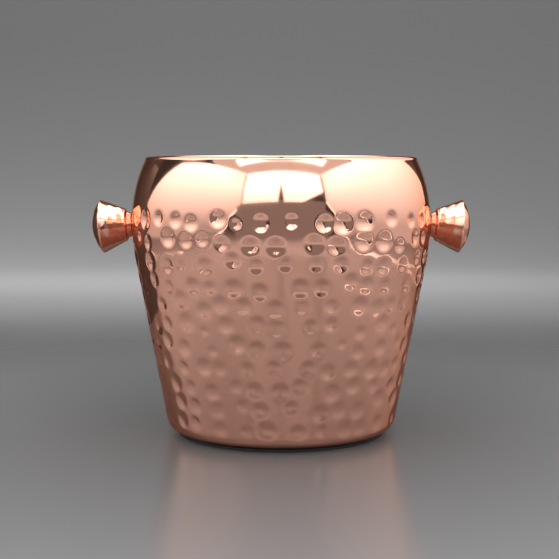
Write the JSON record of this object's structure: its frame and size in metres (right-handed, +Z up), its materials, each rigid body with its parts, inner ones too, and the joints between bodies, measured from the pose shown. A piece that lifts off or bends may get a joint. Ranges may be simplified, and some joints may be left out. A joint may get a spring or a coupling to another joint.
{
  "type": "champagne bucket",
  "caption": "Double-walled hammered champagne bucket, copper plated, with an in-curved polished shoulder, a stainless liner, round knob handles and a foot ring.",
  "frame": {"origin": "on the surface that the bucket stands on, at the centre of the base", "axes": "+Z up along the bucket's axis, X through the two knobs with the right knob at +X, -Y towards the viewer"},
  "size_m": [0.264, 0.2076, 0.1924],
  "materials": {
    "copper_plate": "polished",
    "cast_copper": "polished",
    "stainless_steel": "satin",
    "zinc_plated_steel": "satin",
    "black_rubber": "matte"
  },
  "bodies": {
    "root": {"outer_shell": "copper_plate", "inner_liner": "stainless_steel", "base_plate": "stainless_steel", "foot_ring": "black_rubber", "left_knob": "cast_copper", "right_knob": "cast_copper", "left_screw": "zinc_plated_steel", "right_screw": "zinc_plated_steel", "left_washer": "zinc_plated_steel", "right_washer": "zinc_plated_steel", "left_lock_washer": "zinc_plated_steel", "right_lock_washer": "zinc_plated_steel"}
  },
  "joints": []
}
